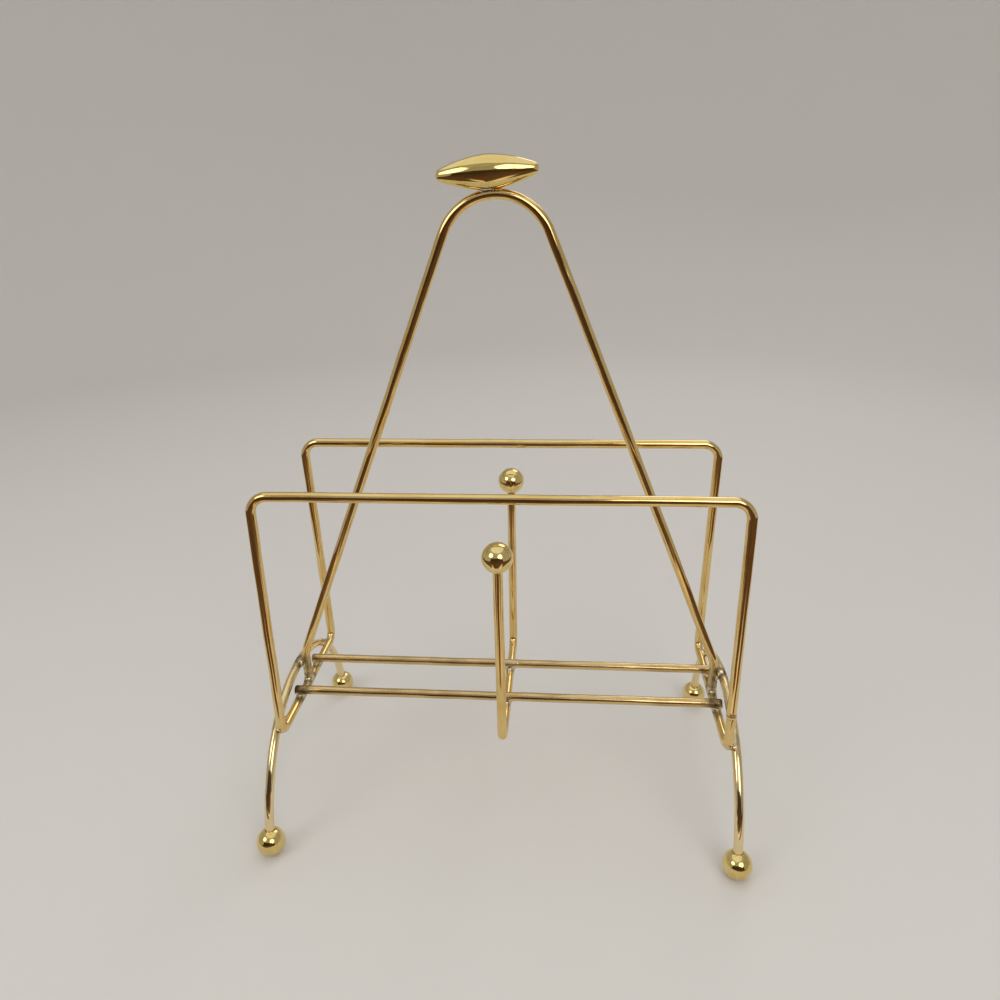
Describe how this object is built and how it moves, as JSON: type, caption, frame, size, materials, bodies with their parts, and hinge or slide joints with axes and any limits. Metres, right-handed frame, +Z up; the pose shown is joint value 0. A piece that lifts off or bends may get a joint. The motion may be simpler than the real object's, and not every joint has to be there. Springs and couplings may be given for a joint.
{
  "type": "photo album stand",
  "caption": "Free-standing bent-wire stand for photo albums: a cradle of leaning frames with a slot on each side of a tall knobbed handle, carried on arched legs with ball feet.",
  "frame": {"origin": "on the table, under the middle of the stand's overall box", "axes": "+X along the stand to the right, +Y from front to rear, +Z up"},
  "size_m": [0.2114, 0.1262, 0.2785],
  "materials": {
    "wire_brass": "polished drawn wire, bright, with fine draw lines, pits and light tarnish near the joints",
    "rail_brass": "drawn rod worn dull and greyish on top, less bright than the bent wires",
    "ball_brass": "turned ball, polished bright",
    "knob_brass": "turned spindle, polished to a mirror",
    "braze_alloy": "hand-brazed filler, uneven, with dark flux round its edges",
    "solder": "soft solder, bright silver-grey"
  },
  "bodies": {
    "root": {"cradle_wire": "wire_brass", "handle_wire": "wire_brass", "divider_wire": "wire_brass", "left_leg_wire": "wire_brass", "right_leg_wire": "wire_brass", "front_cross_rail": "rail_brass", "rear_cross_rail": "rail_brass", "front_left_foot_ball": "ball_brass", "front_right_foot_ball": "ball_brass", "rear_left_foot_ball": "ball_brass", "rear_right_foot_ball": "ball_brass", "front_divider_ball": "ball_brass", "rear_divider_ball": "ball_brass", "handle_knob": "knob_brass", "cradle_butt_weld": "braze_alloy", "cross_rail_braze": "braze_alloy", "divider_braze": "braze_alloy", "leg_braze": "braze_alloy", "handle_braze": "braze_alloy", "knob_solder": "solder"}
  },
  "joints": []
}
